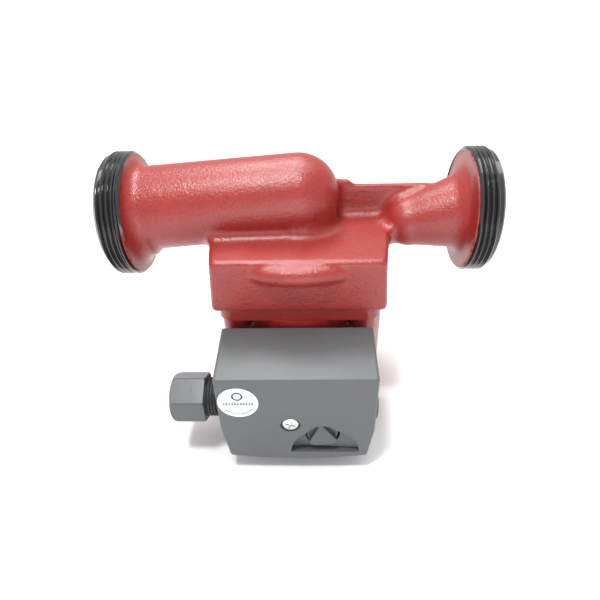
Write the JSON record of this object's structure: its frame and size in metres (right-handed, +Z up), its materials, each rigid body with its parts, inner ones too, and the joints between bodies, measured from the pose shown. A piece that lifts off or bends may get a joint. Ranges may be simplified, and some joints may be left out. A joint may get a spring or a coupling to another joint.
{
  "type": "circulator pump",
  "caption": "In-line wet-rotor circulator: red cast casing with two threaded union ports, canned motor below, grey terminal box with cable gland and speed knob.",
  "frame": {"origin": "on the shaft axis, in the plane of the motor-end rim that the pump stands on", "axes": "+Z up the shaft towards the pump head, +X from the inlet port to the outlet port, terminal box towards -Y"},
  "size_m": [0.18, 0.1213, 0.1318],
  "materials": {
    "cast_red": "gloss enamel on a sand casting",
    "motor_red": "gloss enamel",
    "stainless": "pressed and turned",
    "zinc_steel": "bright zinc plated",
    "core_steel": "stacked sheets",
    "copper": "enamelled winding wire",
    "rotor_alloy": "die cast",
    "carbon": "carbon graphite",
    "ceramic_white": "ground ceramic",
    "black_rubber": "moulded",
    "brass": "turned",
    "impeller_plastic": "glass filled moulding",
    "box_grey": "fine spark texture",
    "knob_grey": "satin moulding",
    "gland_black": "satin moulding",
    "gland_nut_grey": "satin moulding",
    "base_black": "satin moulding",
    "label_paper": "printed film",
    "plate_foil": "anodised foil",
    "insulator": "moulded insulation",
    "switch_white": "moulding",
    "capacitor_white": "moulding"
  },
  "bodies": {
    "pump": {"pump_housing": "cast_red", "wear_ring": "stainless", "housing_gasket": "black_rubber", "bearing_plate": "stainless", "front_bearing": "ceramic_white", "rotor_can": "stainless", "rear_bearing": "ceramic_white", "stator_housing": "motor_red", "stator_core": "core_steel", "stator_windings": "copper", "housing_screws": "zinc_steel", "nameplate": "plate_foil", "terminal_base": "base_black", "terminal_cover": "box_grey", "cover_gasket": "black_rubber", "cover_screw": "zinc_steel", "cover_label": "label_paper", "speed_switch": "switch_white", "run_capacitor": "capacitor_white", "terminal_block": "switch_white", "terminal_screws": "zinc_steel", "earth_screw": "brass", "base_screws": "zinc_steel", "gland_body": "gland_black", "gland_washer": "black_rubber", "gland_seal": "black_rubber", "blanking_plug": "knob_grey", "winding_insulators": "insulator"},
    "rotor": {"shaft": "ceramic_white", "rotor_core": "core_steel", "rotor_end_rings": "rotor_alloy", "rotor_cladding": "stainless", "thrust_cushion": "black_rubber", "thrust_bearing": "carbon", "impeller": "impeller_plastic", "impeller_cap": "stainless"},
    "speed_selector": {"speed_knob": "knob_grey", "switch_spindle": "switch_white"},
    "gland_clamp": {"gland_clamp_ring": "gland_black"},
    "gland_nut": {"gland_nut": "gland_nut_grey"},
    "vent_ring": {"vent_seal": "black_rubber"},
    "vent_plug": {"vent_plug": "brass"}
  },
  "joints": [
    {"name": "rotor_spin", "type": "hinge", "parent": "pump", "child": "rotor", "pos_m": [0, 0, 0.05], "axis": [0, 0, 1], "continuous": true},
    {"name": "speed_knob_turn", "type": "hinge", "parent": "pump", "child": "speed_selector", "pos_m": [0.0104, -0.07, 0.0235], "axis": [0, -1, 0], "range_deg": [-45, 45]},
    {"name": "gland_travel", "type": "slide", "parent": "pump", "child": "gland_clamp", "axis": [-1, 0, 0], "range_m": [-0.00212, 0.00423]},
    {"name": "gland_nut_turn", "type": "hinge", "parent": "gland_clamp", "child": "gland_nut", "pos_m": [-0.05, -0.0578, 0.033], "axis": [-1, 0, 0], "range_deg": [-540, 1080]},
    {"name": "vent_travel", "type": "slide", "parent": "pump", "child": "vent_ring", "axis": [0, 0, -1], "range_m": [0, 0.0015]},
    {"name": "vent_plug_turn", "type": "hinge", "parent": "vent_ring", "child": "vent_plug", "pos_m": [0, 0, 0.004], "axis": [0, 0, -1], "range_deg": [0, 360]}
  ],
  "couplings": [
    {"joint": "gland_nut_turn", "follows": "gland_travel", "rad_per_m": 4456.2},
    {"joint": "vent_plug_turn", "follows": "vent_travel", "rad_per_m": 4188.8}
  ]
}
